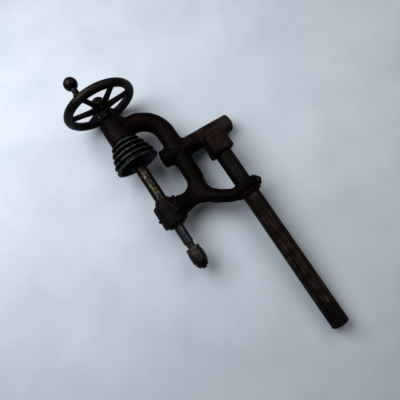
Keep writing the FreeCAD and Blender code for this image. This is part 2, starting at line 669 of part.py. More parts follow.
def assembly():
    upper_bush, lower_bush = bearing_bushes()
    pieces = {
        "frame_casting": frame_casting(),
        "column": column(),
        "column_pin": column_pin(),
        "clamp_bolt": clamp_bolt(),
        "clamp_washer": clamp_washer(),
        "clamp_nut": clamp_nut(),
        "bearing_screw": bearing_screw(),
        "upper_spindle_bush": upper_bush,
        "lower_spindle_bush": lower_bush,
        "thrust_washer": thrust_washer(),
        "head_bush": head_bush(),
        "feed_nut": feed_nut(),
        "cone_pulley": cone_pulley(),
        "pulley_key_screw": key_screw(),
        "pulley_sleeve_ring": sleeve_ring(),
        "spindle": spindle(),
        "swivel_nut": swivel_nut(),
        "thrust_ball": thrust_ball(),
        "feed_screw": feed_screw(),
        "handwheel": handwheel(),
        "handwheel_pin": wheel_pin(),
        "handwheel_nut": wheel_nut(),
        "handle_knob": handle_knob(),
        "chuck_body": chuck_body(),
        "chuck_sleeve": chuck_sleeve(),
        "chuck_nut": chuck_nut(),
    }
    for index in range(JAW_COUNT):
        pieces["chuck_jaw_%d" % (index + 1)] = jaw(index * SPREAD)
    return pieces


def contact(centre, axis, ring_radius, edge_radius, down):
    """Lowest point of a rounded edge: a ring of the given radius and roundness."""
    outward = down - axis * down.dot(axis)
    outward.normalize()
    return centre + outward * ring_radius + down * edge_radius


def floor_direction():
    """Downward unit vector when the drill rests on its wheel rim, column foot and barrel end."""
    down = V(0, 1, 0)
    for _ in range(40):
        foot = contact(COLUMN_AXIS + UP * COLUMN_EDGE, UP, COLUMN_R - COLUMN_EDGE, COLUMN_EDGE, down)
        rim = contact(V(0, 0, WHEEL_Z), UP, RIM_R, RIM_TUBE_R, down)
        barrel_end = contact(V(BARREL_RIGHT - BARREL_EDGE, 0, BARREL_Z), SIDE,
                             BARREL_R - BARREL_EDGE, BARREL_EDGE, down)
        down = rim.sub(foot).cross(barrel_end.sub(foot))
        down.normalize()
        if down.y < 0:
            down = down * -1
    return down, foot


def resting_placement(pieces):
    """Lay the drill down: floor at z = 0, column along +x, centred over the origin."""
    down, foot = floor_direction()
    up = down * -1
    along = V(0, 0, -1)
    along = along - up * along.dot(up)
    along.normalize()
    across = up.cross(along)
    matrix = FreeCAD.Matrix(along.x, along.y, along.z, 0,
                            across.x, across.y, across.z, 0,
                            up.x, up.y, up.z, 0)
    lay = FreeCAD.Placement(matrix)
    laid = Part.Compound([shape for shape in pieces.values()])
    laid.Placement = lay
    box = laid.optimalBoundingBox(False)
    shift = V(-0.5 * (box.XMin + box.XMax), -0.5 * (box.YMin + box.YMax), -lay.multVec(foot).z)
    return FreeCAD.Placement(shift, lay.Rotation)


def main():
    pieces = assembly()
    placement = resting_placement(pieces)
    os.makedirs("parts", exist_ok=True)
    for name, shape in pieces.items():
        shape.Placement = placement.multiply(shape.Placement)
        shape.exportStep("parts/%s.step" % name)
        print(name, "valid" if shape.isValid() else "INVALID", len(shape.Solids), round(shape.Volume))


main()
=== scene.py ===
"""Looks of the bench drill head: it lies on a pale floor under soft light, mostly from the left.

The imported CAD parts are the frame. The casting and the feed screw get finer meshes of their own,
and every piece gets a procedural material. Materials and meshes are laid out in the drill's own
upright frame, in millimetres: z up the column from its foot, x from the spindle to the column,
y from the front to the back, with the spindle down the z axis.
"""
import json
import math
import bpy
import numpy as np
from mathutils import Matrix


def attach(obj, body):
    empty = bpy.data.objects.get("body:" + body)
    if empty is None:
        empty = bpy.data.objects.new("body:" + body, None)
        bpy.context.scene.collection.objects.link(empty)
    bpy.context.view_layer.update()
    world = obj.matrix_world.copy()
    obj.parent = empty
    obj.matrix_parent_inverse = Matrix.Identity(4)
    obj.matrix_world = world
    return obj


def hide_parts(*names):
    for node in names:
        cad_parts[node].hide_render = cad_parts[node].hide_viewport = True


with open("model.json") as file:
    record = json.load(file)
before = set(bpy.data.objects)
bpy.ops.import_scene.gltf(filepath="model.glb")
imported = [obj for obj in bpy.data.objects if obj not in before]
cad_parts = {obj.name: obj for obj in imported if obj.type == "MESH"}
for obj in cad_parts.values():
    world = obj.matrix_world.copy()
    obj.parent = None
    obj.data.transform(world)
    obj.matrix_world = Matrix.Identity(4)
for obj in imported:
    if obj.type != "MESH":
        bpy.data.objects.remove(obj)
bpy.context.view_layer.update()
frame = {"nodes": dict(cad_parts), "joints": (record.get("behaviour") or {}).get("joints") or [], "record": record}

import openvdb
from mathutils import Matrix, Vector, noise

MM = 0.001

# The upright frame, from the pulley's axis and the bore in the cross barrel
PULLEY_SPIN_Z = 300.0
JOINTS = {joint["name"]: joint for joint in frame["joints"]}
MOUNTS = {mount["name"]: mount for mount in frame["record"]["mounts"]}
UP = Vector(JOINTS["pulley_spin"]["axis"]).normalized()
SIDE = -Vector(MOUNTS["idler_bore"]["axis"]).normalized()
BACK = UP.cross(SIDE)
ORIGIN = Vector(JOINTS["pulley_spin"]["pos_m"]) - UP * PULLEY_SPIN_Z * MM
UPRIGHT = Matrix((SIDE, BACK, UP)).transposed()

# Sizes of the real object that the looks follow, in the upright frame
BEARING_R = 18.0
BEARING_TOP = 267.0
SHOULDER_Z = 273.0
FIRST_RIDGE_Z = 369.0        # centre of the pulley's top ridge
RIDGE_PITCH = 8.4
OIL_HOLE = (75.8, -23.6, 222.6)    # bottom of the small hole in the front of the clamp arm
OIL_HOLE_R = 1.1
OIL_HOLE_LENGTH = 12.0       # from its bottom out through the skin

# Feed screw, from its foot in the swivel up to the wheel's seat
SCREW_FOOT = 362.1
SCREW_FOOT_HIGH = 4.0
SCREW_FOOT_R = 5.4
SCREW_NECK_R = 3.5
THREAD_LOW = 375.0
THREAD_HIGH = 417.5
SCREW_R = 6.35
SCREW_ROOT_R = 5.35
SCREW_LEAD = 2.54
WHEEL_SEAT_R = 4.5
WHEEL_SEAT_TOP = 451.0
SCREW_EDGE = 0.1             # height of each step between two radii
THREAD_RUN_IN = 1.5          # slope from the neck up to the thread

# Where the looks change, each from the first value to the second
SOCKET_SIDE = (84, 98)       # x, rustier towards the column socket
SOCKET_FOOT = (272, 282)     # z, rustier above the socket's foot
BARREL_TIP = (120, 134)      # x, painted light: lighter and greyer at the barrel's closed end, where it is lit
NECK_JOINT = (52, 332)       # x and z where gooseneck, barrel and web meet
NECK_JOINT_REACH = (26, 8)   # distance from there, painted highlights closer in
SEAM_END = (6.6, 5.4)        # distance from a seam ridge's middle, where its painted highlight ends
SEAM_EDGE = (0.9, 0.4)       # distance to the side of a seam ridge, where its painted highlight ends
OIL_HOLE_HIGHLIGHT = (3.4, 2.9)       # distance from the oil hole, a painted highlight round its rim
OIL_HOLE_SHADE = (1.9, 1.6)        # distance from the oil hole, painted shade inside it
COLUMN_IN_EYE = (206, 216)   # z, darker and smoother from the eye up
COLUMN_CLEAN = (46, 34)      # z, cleaner where a base once held the foot
HUB_RINGS = (319, 323)       # z, darker rings on the spindle below the pulley's hub
CREST = (0.085, 0.04)        # distance from a ridge's middle, in pitches, for the crests' polish and painted highlight
MOUTH_SLOPE = 0.364          # radius that the pulley's hollow loses for each millimetre up
MOUTH_EDGE = (151.2, 150.6)  # radius plus slope times z: inside the hollow, not on the grooves
MOUTH_DEPTH = (350, 342)     # z, painted light: greyer towards the hollow's mouth, darker deeper in
MOUTH_HUB = (14, 22)         # radius, painted light: greyer away from the hub
WHEEL_HUB = (16, 44)         # radius, from the hub's painted shade out to the rubbed rim
CHUCK_NOSE = (168.9, 168.3)  # z, below the sleeve
CHUCK_COLLAR = (188.3, 188.6)    # z, above the sleeve


def from_upright(points):
    """Upright millimetres to metres in the frame's own axes; points is an (n, 3) array."""
    turn = np.array(UPRIGHT)
    return points @ turn.T * MM + np.array(ORIGIN)


def to_upright(points):
    """Metres in the frame's own axes to upright millimetres."""
    turn = np.array(UPRIGHT)
    return (points - np.array(ORIGIN)) @ turn / MM


# ---------------------------------------------------------------- meshes

def mesh_arrays(obj):
    """Vertices and triangles of an object's mesh."""
    mesh = obj.data
    mesh.calc_loop_triangles()
    points = np.zeros(len(mesh.vertices) * 3)
    mesh.vertices.foreach_get("co", points)
    corners = np.zeros(len(mesh.loop_triangles) * 3, np.int32)
    mesh.loop_triangles.foreach_get("vertices", corners)
    return points.reshape(-1, 3), corners.reshape(-1, 3)


def placed(name, data):
    """A new object in the scene, from a mesh, camera or light."""
    obj = bpy.data.objects.new(name, data)
    bpy.context.scene.collection.objects.link(obj)
    return obj


def new_piece(name, points, faces, body):
    """A smooth-shaded piece from upright points, riding on a body."""
    mesh = bpy.data.meshes.new(name)
    mesh.from_pydata(from_upright(np.asarray(points, float)).tolist(), [], [list(face) for face in faces])
    mesh.validate()
    mesh.shade_smooth()
    piece = placed(name, mesh)
    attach(piece, body)
    return piece


# The casting is rebuilt on a grid of distances to its surface
VOXEL = 0.9
FILLET = 4.6                 # radius
GRID_REACH = FILLET + 3 * VOXEL    # distances further from the surface aren't kept

# Fillets are grown in the corners between these parts of it: (centre, radius)
FILLETED = (
    ((60, 0, 322), 34),       # gooseneck, barrel and web
    ((108, -8, 322), 21),     # barrel and column socket
    ((18, 0, 391), 20),       # head and gooseneck
    ((52, -4, 254), 34),      # web and the two lower arms
    ((17, 0, 250), 17),       # arm and bearing block
    ((92, -24, 222), 15),     # lower arm and column eye
)
FILLET_FADE = 0.3            # outer share of the radius over which the fillet dies away

# Here the skin flows more softly: (centre, radius)
SMOOTHED = (
    ((55, -5, 255), 27),      # foot of the web, where the two arms part
    ((93, -15, 300), 13),     # left side of the socket
)
SMOOTHED_FADE = 0.35         # outer share of the radius over which the blur dies away
SMOOTH_PASSES = 24

# Lumps of the real casting that the CAD part leaves out: (centre, radius) and (start, end, radius)
FLASH_BUMPS = (
    ((8.4, -12.8, 265.9), 2.8),
    ((14.4, -10.0, 265.2), 3.0),
    ((20.6, -8.8, 262.6), 2.6),
)
BUMP_BLEND = 1.4             # reach of the fillet round each bump
SEAM_RIDGES = (
    ((1.6, -17.6, 264.6), (6.4, -17.0, 253.2), 0.75),
    ((6.8, -16.8, 256.4), (9.6, -15.4, 245.4), 0.8),
)
RIDGE_BLEND = 0.9            # the same for each ridge


def level_set(points, faces):
    """Grid of distances to a closed surface of triangles or quads."""
    transform = openvdb.createLinearTransform(voxelSize=VOXEL)
    key = "triangles" if len(faces[0]) == 3 else "quads"
    faces = {key: np.asarray(faces, np.uint32)}
    return openvdb.FloatGrid.createLevelSetFromPolygons(
        np.asarray(points, np.float32), transform=transform, halfWidth=GRID_REACH / VOXEL, **faces)


def grid_array(grid, low, shape):
    """The grid's values as an array that starts at its lowest corner."""
    values = np.zeros(shape, np.float32)
    grid.copyToArray(values, ijk=low)
    return values


def softened(values, passes=2):
    """A small blur along each axis, which rounds edges as a casting's are."""
    for _ in range(passes):
        for axis in range(3):
            before = np.roll(values, 1, axis)
            after = np.roll(values, -1, axis)
            values = 0.25 * before + 0.5 * values + 0.25 * after
    return values


def smooth_step(values):
    """0 below 0, 1 above 1 and a smooth change between."""
    values = np.clip(values, 0, 1)
    return values * values * (3 - 2 * values)


def ball_field(place, centre, radius):
    """Distance to a ball, on the grid whose places along x, y and z are given."""
    across = (place[0][:, None, None] - centre[0]) ** 2
    through = (place[1][None, :, None] - centre[1]) ** 2
    return np.sqrt(across + through + (place[2][None, None, :] - centre[2]) ** 2) - radius


def rod_field(place, start, end, radius):
    """Distance to a round-ended rod between two points."""
    start = np.array(start)
    run = np.array(end) - start
    away = [place[0][:, None, None] - start[0], place[1][None, :, None] - start[1],
            place[2][None, None, :] - start[2]]
    along = (away[0] * run[0] + away[1] * run[1] + away[2] * run[2]) / (run @ run)
    along = np.clip(along, 0, 1)
    return np.sqrt(sum((gap - along * step) ** 2 for gap, step in zip(away, run))) - radius


def blended(first, second, reach):
    """Union of two distance fields with a small fillet between them."""
    overlap = np.clip(0.5 + 0.5 * (first - second) / reach, 0, 1)
    return first + (second - first) * overlap - reach * overlap * (1 - overlap)


def inside_ball(place, centre, radius, fade):
    """1 in a ball and 0 outside it; fade is the outer share of the radius between the two."""
    return smooth_step(-ball_field(place, centre, radius) / (fade * radius))


def with_fillets(solid, values, place, low):
    """Rounds the inner corners by swelling the solid and shrinking it again, only near them."""
    swollen = level_set(*solid.convertToQuads(isovalue=FILLET))
    closed = np.minimum(grid_array(swollen, low, values.shape) + FILLET, values)
    weight = np.zeros(values.shape, np.float32)
    for centre, radius in FILLETED:
        weight = np.maximum(weight, inside_ball(place, centre, radius, FILLET_FADE))
    return values + (closed - values) * weight


def with_soft_places(values, place):
    """Blurs the skin further where it flows softly."""
    smoother = softened(values, SMOOTH_PASSES)
    for centre, radius in SMOOTHED:
        values = values + (smoother - values) * inside_ball(place, centre, radius, SMOOTHED_FADE)
    return values


def with_lumps_and_hole(values, place):
    """Adds the foundry's lumps and seam lines and cuts the oil hole."""
    for centre, radius in FLASH_BUMPS:
        values = blended(values, ball_field(place, centre, radius), BUMP_BLEND)
    for start, end, radius in SEAM_RIDGES:
        values = blended(values, rod_field(place, start, end, radius), RIDGE_BLEND)
    x, y, z = OIL_HOLE
    oil_hole = rod_field(place, OIL_HOLE, (x, y - OIL_HOLE_LENGTH, z), OIL_HOLE_R)
    return np.maximum(values, -oil_hole)


def cast_body():
    """The frame casting with rounded inner corners and soft edges."""
    points, triangles = mesh_arrays(frame["nodes"]["frame_casting"])
    solid = level_set(to_upright(points), triangles)
    low, high = solid.evalActiveVoxelBoundingBox()
    shape = tuple(top - bottom + 1 for bottom, top in zip(low, high))
    place = [np.arange(bottom, bottom + count) * VOXEL for bottom, count in zip(low, shape)]
    values = with_fillets(solid, grid_array(solid, low, shape), place, low)
    values = with_soft_places(softened(values), place)
    values = with_lumps_and_hole(values, place)
    grid = openvdb.FloatGrid(GRID_REACH)
    grid.transform = openvdb.createLinearTransform(voxelSize=VOXEL)
    grid.copyFromArray(values.astype(np.float32), ijk=low)
    points, quads = grid.convertToQuads(isovalue=0.0)
    return new_piece("cast_body", points, quads[:, ::-1], "frame")


def roughen(piece, layers):
    """Moves each point along its normal by smooth noise; layers are (wavelength, height) in mm."""
    mesh = piece.data
    for vertex, normal in zip(mesh.vertices, [n.vector.copy() for n in mesh.vertex_normals]):
        height = sum(size * noise.noise(vertex.co / (wave * MM)) for wave, size in layers)
        vertex.co += normal * height * MM


# Mesh of the screw's thread
THREAD_STEPS = 64            # round one turn
THREAD_ROWS = 12             # along one lead
THREAD_GROOVE = 0.16         # half of the groove's flat bottom, in leads
THREAD_FLANK = 0.14          # one sloping side, in leads


def thread_radius(height, turn):
    """Radius of the thread at a height, and at a turn from 0 to 1 round the screw."""
    phase = (height / SCREW_LEAD - turn) % 1.0
    flank = smooth_step((abs(phase - 0.5) - THREAD_GROOVE) / THREAD_FLANK)
    return SCREW_ROOT_R + (SCREW_R - SCREW_ROOT_R) * flank


def threaded_screw():
    """The feed screw with a real thread where the CAD part has a plain cylinder."""
    foot_top = SCREW_FOOT + SCREW_FOOT_HIGH
    rows = [(SCREW_FOOT, SCREW_FOOT_R), (foot_top - SCREW_EDGE, SCREW_FOOT_R)]
    rows += [(foot_top, SCREW_NECK_R), (THREAD_LOW - THREAD_RUN_IN, SCREW_NECK_R)]
    rows += [(height, None) for height in np.arange(THREAD_LOW, THREAD_HIGH, SCREW_LEAD / THREAD_ROWS)]
    rows += [(THREAD_HIGH + SCREW_EDGE, WHEEL_SEAT_R), (WHEEL_SEAT_TOP, WHEEL_SEAT_R)]
    points = []
    for height, radius in rows:
        for step in range(THREAD_STEPS):
            turn = step / THREAD_STEPS
            angle = 2 * math.pi * turn
            here = radius or thread_radius(height, turn)
            points.append((here * math.cos(angle), here * math.sin(angle), height))
    rings = np.arange(len(points)).reshape(len(rows), THREAD_STEPS)
    faces = []
    for lower, upper in zip(rings[:-1], rings[1:]):
        corners = (lower, np.roll(lower, -1), np.roll(upper, -1), upper)
        faces += np.stack(corners, axis=1).tolist()
    faces.append(rings[0][::-1].tolist())
    faces.append(rings[-1].tolist())
    return new_piece("threaded_feed_screw", points, faces, "screw_and_wheel")


# ---------------------------------------------------------------- materials

# Sockets of the Mix node when it mixes colours
COLOUR_A = 6
COLOUR_B = 7
COLOUR_RESULT = 2


class Paint:
    """A material under construction. Values are numbers, colours or the outputs of its nodes."""

    def __init__(self, name, metallic=0.0, specular=0.5):
        self.material = bpy.data.materials.new(name)
        self.material.use_nodes = True
        self.tree = self.material.node_tree
        self.shader = self.tree.nodes["Principled BSDF"]
        self.shader.inputs["Metallic"].default_value = metallic
        self.shader.inputs["Specular IOR Level"].default_value = specular
        self.place = self.upright_place()
        split = self.node("ShaderNodeSeparateXYZ", {0: self.place})
        self.x, _, self.z = split.outputs
        flat = self.node("ShaderNodeVectorMath", {0: self.place, 1: (1, 1, 0)}, operation="MULTIPLY")
        self.radius = self.measure("LENGTH", flat.outputs[0])

    def node(self, kind, inputs, **settings):
        """A new node; inputs are given by socket name or number."""
        node = self.tree.nodes.new(kind)
        for key, value in settings.items():
            setattr(node, key, value)
        for key, value in inputs.items():
            self.feed(value, node.inputs[key])
        return node

    def feed(self, value, socket):
        """Links a node's output to a socket, or sets the socket to a number or colour."""
        if isinstance(value, bpy.types.NodeSocket):
            self.tree.links.new(value, socket)
        elif socket.type == "RGBA":
            socket.default_value = (*value, 1.0)
        else:
            socket.default_value = value

    def upright_place(self):
        """Object coordinates turned into upright millimetres."""
        turn = UPRIGHT.transposed()
        own = self.node("ShaderNodeTexCoord", {}).outputs["Object"]
        shift = -(turn @ ORIGIN) / MM
        inputs = {"Vector": own, "Location": shift, "Rotation": turn.to_euler(), "Scale": (1 / MM,) * 3}
        return self.node("ShaderNodeMapping", inputs).outputs[0]

    def noise(self, size, detail=3.0, roughness=0.55, stretch=(1, 1, 1), shift=0.0):
        """Noise from 0 to 1 with features about size millimetres across, longer along stretch."""
        scale = tuple(1 / (size * factor) for factor in stretch)
        inputs = {"Vector": self.place, "Scale": scale, "Location": (shift,) * 3}
        spread = self.node("ShaderNodeMapping", inputs).outputs[0]
        inputs = {"Vector": spread, "Scale": 1.0, "Detail": detail, "Roughness": roughness}
        return self.node("ShaderNodeTexNoise", inputs).outputs[0]

    def math(self, operation, *values):
        return self.node("ShaderNodeMath", dict(enumerate(values)), operation=operation).outputs[0]

    def times(self, first, *others):
        """The product of several masks."""
        for other in others:
            first = self.math("MULTIPLY", first, other)
        return first

    def between(self, first, second, share):
        """share of the first value and the rest of the second."""
        return self.math("ADD", self.math("MULTIPLY", first, share), self.math("MULTIPLY", second, 1 - share))

    def away(self, value, middle):
        """How far a value is from middle, either way."""
        return self.math("ABSOLUTE", self.math("SUBTRACT", value, middle))

    def measure(self, operation, *vectors):
        """The number that a vector operation gives, such as a length."""
        node = self.node("ShaderNodeVectorMath", dict(enumerate(vectors)), operation=operation)
        return node.outputs["Value"]

    def distance(self, point):
        """Millimetres from an upright point."""
        return self.measure("DISTANCE", self.place, point)

    def along(self, direction):
        """Millimetres along a direction from the upright origin."""
        return self.measure("DOT_PRODUCT", self.place, direction)

    def ease(self, value, low, high):
        """A smooth change from 0 to 1 as value goes from low to high."""
        inputs = {"Value": value, "From Min": low, "From Max": high}
        return self.node("ShaderNodeMapRange", inputs, interpolation_type="SMOOTHSTEP").outputs[0]

    def level(self, value, low, high, start, end):
        """An even change from start to end as value goes from low to high."""
        inputs = {"Value": value, "From Min": low, "From Max": high, "To Min": start, "To Max": end}
        return self.node("ShaderNodeMapRange", inputs).outputs[0]

    def colours(self, value, *stops):
        """A colour ramp; stops are (position, colour)."""
        node = self.node("ShaderNodeValToRGB", {0: value})
        ramp = node.color_ramp
        ramp.elements[0].position = stops[0][0]
        ramp.elements[-1].position = stops[-1][0]
        for position, _ in stops[1:-1]:
            ramp.elements.new(position)
        for element, (_, colour) in zip(ramp.elements, stops):
            element.color = (*colour, 1.0)
        return node.outputs[0]

    def mix(self, factor, first, second):
        """The first colour where factor is 0 and the second where it is 1."""
        inputs = {"Factor": factor, COLOUR_A: first, COLOUR_B: second}
        return self.node("ShaderNodeMix", inputs, data_type="RGBA").outputs[COLOUR_RESULT]

    def bump(self, height, millimetres, strength, normal=None):
        """A bumpy normal, on top of another one where that is given."""
        inputs = {"Height": height, "Distance": millimetres * MM, "Strength": strength}
        if normal is not None:
            inputs["Normal"] = normal
        return self.node("ShaderNodeBump", inputs).outputs[0]

    def finish(self, colour, roughness, normal=None, metallic=None):
        """Feeds the shader and gives the finished material."""
        self.feed(colour, self.shader.inputs["Base Color"])
        self.feed(roughness, self.shader.inputs["Roughness"])
        if normal is not None:
            self.feed(normal, self.shader.inputs["Normal"])
        if metallic is not None:
            self.feed(metallic, self.shader.inputs["Metallic"])
        return self.material


def painted_seam_highlight(paint, start, end):
    """Painted highlight: 1 on a broken line along a seam ridge and 0 beside it."""
    across = Vector((end[2] - start[2], 0, start[0] - end[0])).normalized()
    beside = paint.away(paint.along(across), across.dot(Vector(start)))
    middle = tuple(0.5 * (low + high) for low, high in zip(start, end))
    within = paint.ease(paint.distance(middle), *SEAM_END)
    broken = paint.ease(paint.noise(1.6, shift=7), 0.38, 0.52)
    return paint.times(within, paint.ease(beside, *SEAM_EDGE), broken)


def casting_iron():
    """Old bare cast iron: oil-soaked dark brown with rust and a smooth grey-purple bearing block. Painted light:
    the barrel's closed end is lighter, with painted highlights round the neck joint, on the seam ridges and round
    the oil hole, and painted shade inside the oil hole.
    """
    paint = Paint("casting_iron", specular=0.08)
    mottle = paint.noise(3.2, detail=4, roughness=0.65)
    tone = paint.between(paint.noise(24, detail=4), mottle, 0.6)
    oily = paint.colours(tone, (0.36, (0.0020, 0.0010, 0.0009)), (0.52, (0.0056, 0.0028, 0.0023)),
                         (0.66, (0.016, 0.0082, 0.0062)))
    rusty = paint.colours(tone, (0.36, (0.0070, 0.0036, 0.0032)), (0.52, (0.0165, 0.0088, 0.0078)),
                          (0.66, (0.040, 0.022, 0.018)))
    painted_lit_tip = paint.colours(tone, (0.36, (0.011, 0.0078, 0.0075)), (0.52, (0.028, 0.020, 0.019)),
                           (0.66, (0.058, 0.042, 0.038)))
    smooth = paint.colours(mottle, (0.38, (0.0065, 0.0052, 0.0057)), (0.62, (0.0135, 0.0108, 0.0117)))
    on_socket = paint.times(paint.ease(paint.x, *SOCKET_SIDE), paint.ease(paint.z, *SOCKET_FOOT))
    on_tip = paint.times(on_socket, paint.ease(paint.x, *BARREL_TIP))
    on_bearing = paint.times(paint.ease(paint.radius, BEARING_R + 3, BEARING_R + 0.5),
                             paint.ease(paint.z, BEARING_TOP + 6, BEARING_TOP))
    skin = paint.mix(on_socket, oily, rusty)
    # painted light: the barrel's closed end is painted lighter and greyer, as where light falls on it
    skin = paint.mix(on_tip, skin, painted_lit_tip)
    skin = paint.mix(on_bearing, skin, smooth)
    # painted highlights: light tan streaks round the neck joint
    painted_joint_highlights = paint.ease(paint.noise(2.0, detail=2, stretch=(3.5, 1, 1), shift=31), 0.67, 0.73)
    for value, middle in zip((paint.x, paint.z), NECK_JOINT):
        painted_joint_highlights = paint.times(painted_joint_highlights, paint.ease(paint.away(value, middle), *NECK_JOINT_REACH))
    skin = paint.mix(painted_joint_highlights, skin, (0.085, 0.060, 0.042))
    # painted highlights along the seam ridges
    for start, end, _ in SEAM_RIDGES:
        skin = paint.mix(painted_seam_highlight(paint, start, end), skin, (0.045, 0.030, 0.020))
    from_hole = paint.distance(OIL_HOLE)
    # painted highlight round the oil hole's rim, then painted shade inside the hole
    skin = paint.mix(paint.ease(from_hole, *OIL_HOLE_HIGHLIGHT), skin, (0.05, 0.033, 0.024))
    skin = paint.mix(paint.ease(from_hole, *OIL_HOLE_SHADE), skin, (0.0006, 0.0005, 0.0005))
    roughness = paint.level(mottle, 0.3, 0.7, 0.38, 0.66)
    grain = paint.bump(paint.noise(0.9, detail=3), 0.12, 0.7)
    normal = paint.bump(paint.noise(4.5, detail=3), 0.5, 0.6, grain)
    return paint.finish(skin, roughness, normal)


def column_steel():
    """Round bar: tan scratches along it, smooth and dark above the eye, blue-grey at its foot."""
    paint = Paint("column_steel", metallic=0.1, specular=0.16)
    streaks = paint.noise(0.9, detail=4, roughness=0.6, stretch=(1, 1, 60))
    blotches = paint.noise(14, detail=4)
    tone = paint.between(streaks, blotches, 0.75)
    lower = paint.colours(tone, (0.40, (0.0030, 0.0021, 0.0018)), (0.50, (0.0105, 0.0066, 0.0048)),
                          (0.56, (0.030, 0.0195, 0.0135)), (0.63, (0.125, 0.090, 0.062)))
    upper = paint.colours(blotches, (0.35, (0.0030, 0.0019, 0.0017)), (0.65, (0.0090, 0.0056, 0.0048)))
    colour = paint.mix(paint.ease(paint.z, *COLUMN_IN_EYE), lower, upper)
    uneven_z = paint.math("MULTIPLY_ADD", blotches, 10, paint.z)
    foot = paint.colours(streaks, (0.35, (0.0058, 0.0053, 0.0058)), (0.7, (0.0125, 0.0115, 0.0125)))
    colour = paint.mix(paint.ease(uneven_z, *COLUMN_CLEAN), colour, foot)
    roughness = paint.level(streaks, 0.3, 0.7, 0.36, 0.62)
    normal = paint.bump(streaks, 0.15, 0.6)
    return paint.finish(colour, roughness, normal)


def pulley_iron():
    """Black oxide; the ridges' crests are lighter from belt polish and a painted highlight, and painted light
    greys the inside of the hollow towards its mouth.
    """
    paint = Paint("pulley_iron", metallic=0.25, specular=0.2)
    wear = paint.noise(5, detail=4, roughness=0.6)
    black = paint.colours(wear, (0.35, (0.0017, 0.0017, 0.0019)), (0.65, (0.0065, 0.0062, 0.0064)))
    pitches = paint.math("DIVIDE", paint.math("SUBTRACT", paint.z, FIRST_RIDGE_Z), RIDGE_PITCH)
    from_crest = paint.away(pitches, paint.math("ROUND", pitches))
    # belt polish and painted highlight on the ridges' crests
    crest_polish_and_highlight = paint.times(paint.ease(from_crest, *CREST), paint.ease(wear, 0.35, 0.6))
    colour = paint.mix(crest_polish_and_highlight, black, (0.10, 0.101, 0.104))
    # painted light on the inside of the hollow: greyer towards its mouth and away from the hub
    flare = paint.math("MULTIPLY_ADD", paint.z, MOUTH_SLOPE, paint.radius)
    mouth_painted_light = paint.times(paint.ease(flare, *MOUTH_EDGE), paint.ease(paint.z, *MOUTH_DEPTH),
                        paint.ease(paint.radius, *MOUTH_HUB))
    colour = paint.mix(mouth_painted_light, colour, (0.075, 0.077, 0.080))
    roughness = paint.level(wear, 0.3, 0.7, 0.32, 0.52)
    rings = paint.noise(0.5, detail=2, stretch=(40, 40, 1))
    return paint.finish(colour, roughness, paint.bump(rings, 0.03, 0.4))


def spindle_steel():
    """Turned steel, bronze-brown above the shoulder and grey on the journal below."""
    paint = Paint("spindle_steel", specular=0.3)
    rings = paint.noise(0.6, detail=3, stretch=(40, 40, 1))
    stains = paint.noise(1.3, detail=6, roughness=0.7, stretch=(1, 1, 1.6))
    brown = paint.colours(stains, (0.38, (0.0032, 0.0023, 0.0017)), (0.52, (0.012, 0.0085, 0.0058)),
                          (0.63, (0.15, 0.130, 0.105)))
    under_hub = paint.times(paint.ease(paint.z, *HUB_RINGS), paint.ease(rings, 0.42, 0.5))
    brown = paint.mix(under_hub, brown, (0.0040, 0.0030, 0.0025))
    grey = paint.colours(stains, (0.38, (0.0065, 0.0064, 0.0062)), (0.63, (0.075, 0.077, 0.076)))
    colour = paint.mix(paint.ease(paint.z, SHOULDER_Z + 1, SHOULDER_Z - 1), brown, grey)
    roughness = paint.level(stains, 0.35, 0.65, 0.50, 0.18)
    metallic = paint.level(stains, 0.38, 0.6, 0.35, 0.9)
    normal = paint.bump(rings, 0.04, 0.5)
    return paint.finish(colour, roughness, normal, metallic)


def worn_steel(name, dark, light, patch, metallic=0.5, smooth=0.35, rough=0.55):
    """Plain tarnished steel with stains patch millimetres across."""
    paint = Paint(name, metallic=metallic, specular=0.25)
    stains = paint.noise(patch, detail=5, roughness=0.62)
    colour = paint.colours(stains, (0.34, dark), (0.66, light))
    roughness = paint.level(stains, 0.3, 0.7, smooth, rough)
    return paint.finish(colour, roughness, paint.bump(paint.noise(0.8, detail=3), 0.06, 0.6))


def wheel_skin():
    """Handled cast iron, dark rusty brown, rubbed smooth on the rim; painted shade darkens it towards the hub."""
    paint = Paint("wheel_iron", metallic=0.1, specular=0.2)
    patches = paint.noise(12, detail=5, roughness=0.6)
    hub_painted_shade = paint.colours(patches, (0.36, (0.0026, 0.0014, 0.0013)), (0.64, (0.0085, 0.0046, 0.0040)))
    rim = paint.colours(patches, (0.34, (0.0050, 0.0033, 0.0031)), (0.52, (0.0120, 0.0076, 0.0068)),
                        (0.66, (0.025, 0.0162, 0.0145)))
    # painted shade on the hub and spokes, lightening out to the rubbed rim
    colour = paint.mix(paint.ease(paint.radius, *WHEEL_HUB), hub_painted_shade, rim)
    roughness = paint.level(patches, 0.3, 0.7, 0.32, 0.56)
    grain = paint.bump(paint.noise(0.9, detail=3), 0.07, 0.6)
    normal = paint.bump(paint.noise(5, detail=2), 0.3, 0.5, grain)
    return paint.finish(colour, roughness, normal)


def chuck_skin():
    """Chuck steel with turning lines round it, a dark nose and a rubbed collar."""
    paint = Paint("chuck_steel", specular=0.3)
    stains = paint.noise(4, detail=5, roughness=0.65)
    lines = paint.noise(0.45, detail=2, stretch=(30, 30, 1))
    tone = paint.between(stains, lines, 0.7)
    colour = paint.colours(tone, (0.36, (0.012, 0.0113, 0.0108)), (0.52, (0.036, 0.034, 0.0325)),
                           (0.66, (0.12, 0.113, 0.105)))
    colour = paint.mix(paint.ease(paint.z, *CHUCK_NOSE), colour, (0.017, 0.0162, 0.0155))
    colour = paint.mix(paint.ease(paint.z, *CHUCK_COLLAR), colour, (0.075, 0.071, 0.066))
    roughness = paint.level(stains, 0.35, 0.65, 0.5, 0.28)
    metallic = paint.level(stains, 0.38, 0.6, 0.4, 0.85)
    normal = paint.bump(lines, 0.07, 0.6)
    return paint.finish(colour, roughness, normal, metallic)


